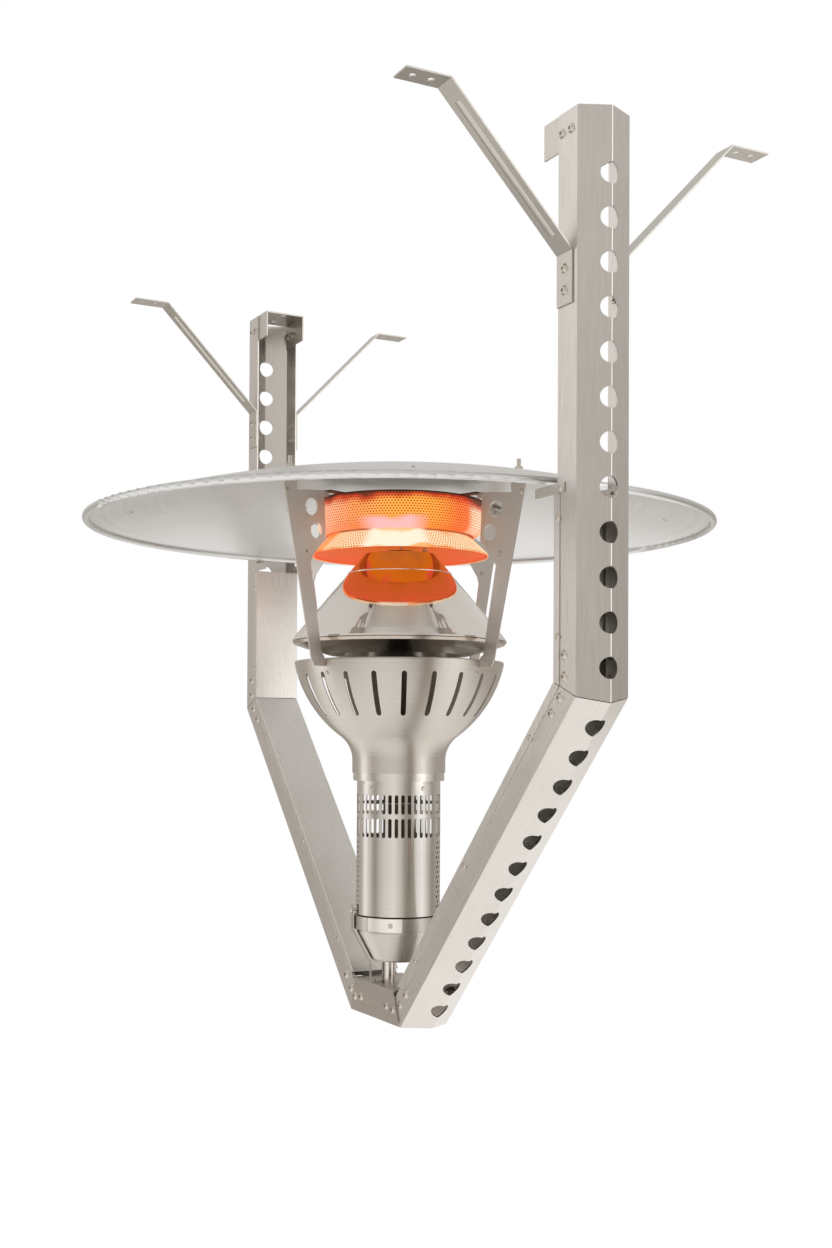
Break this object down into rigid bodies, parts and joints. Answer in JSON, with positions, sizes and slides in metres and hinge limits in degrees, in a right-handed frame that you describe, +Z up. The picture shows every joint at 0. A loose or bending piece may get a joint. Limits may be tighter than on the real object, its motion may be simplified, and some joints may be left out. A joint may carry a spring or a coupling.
{
  "type": "hanging gas patio heater",
  "caption": "Ceiling-hung gas patio heater: bowl burner with radiant screen and mirror cone under a wide domed reflector, carried by a bent two-post perforated frame.",
  "frame": {"origin": "middle of the ceiling plane, on the burner's vertical axis", "axes": "+Z up to the ceiling, the object hangs towards -Z; X runs along the two-post frame; Y across it, with the access cover turned towards +X and -Y"},
  "size_m": [1.0394, 0.892, 1.116],
  "materials": {
    "frame_steel": "satin brushed",
    "cover_steel": "satin brushed",
    "strap_steel": "satin brushed",
    "fixing_steel": "bright",
    "column_steel": "fine brushed",
    "pipe_steel": "smooth",
    "valve_brass": "machined",
    "stem_steel": "machined",
    "knob_plastic": "matte",
    "bowl_steel": "spun satin",
    "mirror_steel": "mirror polished",
    "heat_dark_steel": "heat darkened",
    "glowing_screen": "fine perforated, glowing when lit",
    "strut_steel": "satin",
    "reflector_aluminium": "satin",
    "ceramic": "glazed ceramic"
  },
  "bodies": {
    "heater": {"left_post": "frame_steel", "right_post": "frame_steel", "left_arm": "frame_steel", "right_arm": "frame_steel", "left_post_cover": "cover_steel", "right_post_cover": "cover_steel", "left_arm_cover": "cover_steel", "right_arm_cover": "cover_steel", "left_elbow_plates": "frame_steel", "right_elbow_plates": "frame_steel", "left_ceiling_bracket": "frame_steel", "right_ceiling_bracket": "frame_steel", "left_front_brace": "frame_steel", "left_rear_brace": "frame_steel", "right_front_brace": "frame_steel", "right_rear_brace": "frame_steel", "base_bracket": "frame_steel", "base_gussets": "frame_steel", "front_strap": "strap_steel", "rear_strap": "strap_steel", "left_reflector_tabs": "frame_steel", "right_reflector_tabs": "frame_steel", "ceiling_bracket_bolts": "fixing_steel", "brace_bolts": "fixing_steel", "elbow_bolts": "fixing_steel", "base_bolts": "fixing_steel", "frame_nuts": "fixing_steel", "cover_screws": "fixing_steel", "strap_screws": "fixing_steel", "gas_inlet_pipe": "pipe_steel", "column_cup": "column_steel", "clamp_band": "column_steel", "column_sleeve": "column_steel", "access_cover": "column_steel", "access_cover_screws": "fixing_steel", "column_shelf": "column_steel", "gas_valve": "valve_brass", "gas_injector": "valve_brass", "mixing_tube": "pipe_steel", "bowl": "bowl_steel", "bowl_rivets": "fixing_steel", "deflector_cone": "mirror_steel", "deflector_pan": "mirror_steel", "burner_collar": "heat_dark_steel", "emitter_band": "glowing_screen", "emitter_skirt": "glowing_screen", "emitter_top_ring": "heat_dark_steel", "diffuser_cone": "glowing_screen", "strut_20": "strut_steel", "strut_110": "strut_steel", "strut_200": "strut_steel", "strut_290": "strut_steel", "strut_screws": "fixing_steel", "reflector": "reflector_aluminium", "reflector_studs": "fixing_steel", "igniter_electrode": "ceramic", "flame_sensor": "ceramic"},
    "valve_stem": {"valve_stem": "stem_steel"},
    "valve_knob": {"valve_knob": "knob_plastic"}
  },
  "joints": [
    {"name": "valve_turn", "type": "hinge", "parent": "heater", "child": "valve_stem", "pos_m": [0, 0, -0.925], "axis": [0.866, -0.5, 0], "range_deg": [0, 180]},
    {"name": "knob_push", "type": "slide", "parent": "valve_stem", "child": "valve_knob", "axis": [-0.866, 0.5, 0], "range_m": [0, 0.004], "stiffness_N_per_m": 400}
  ]
}
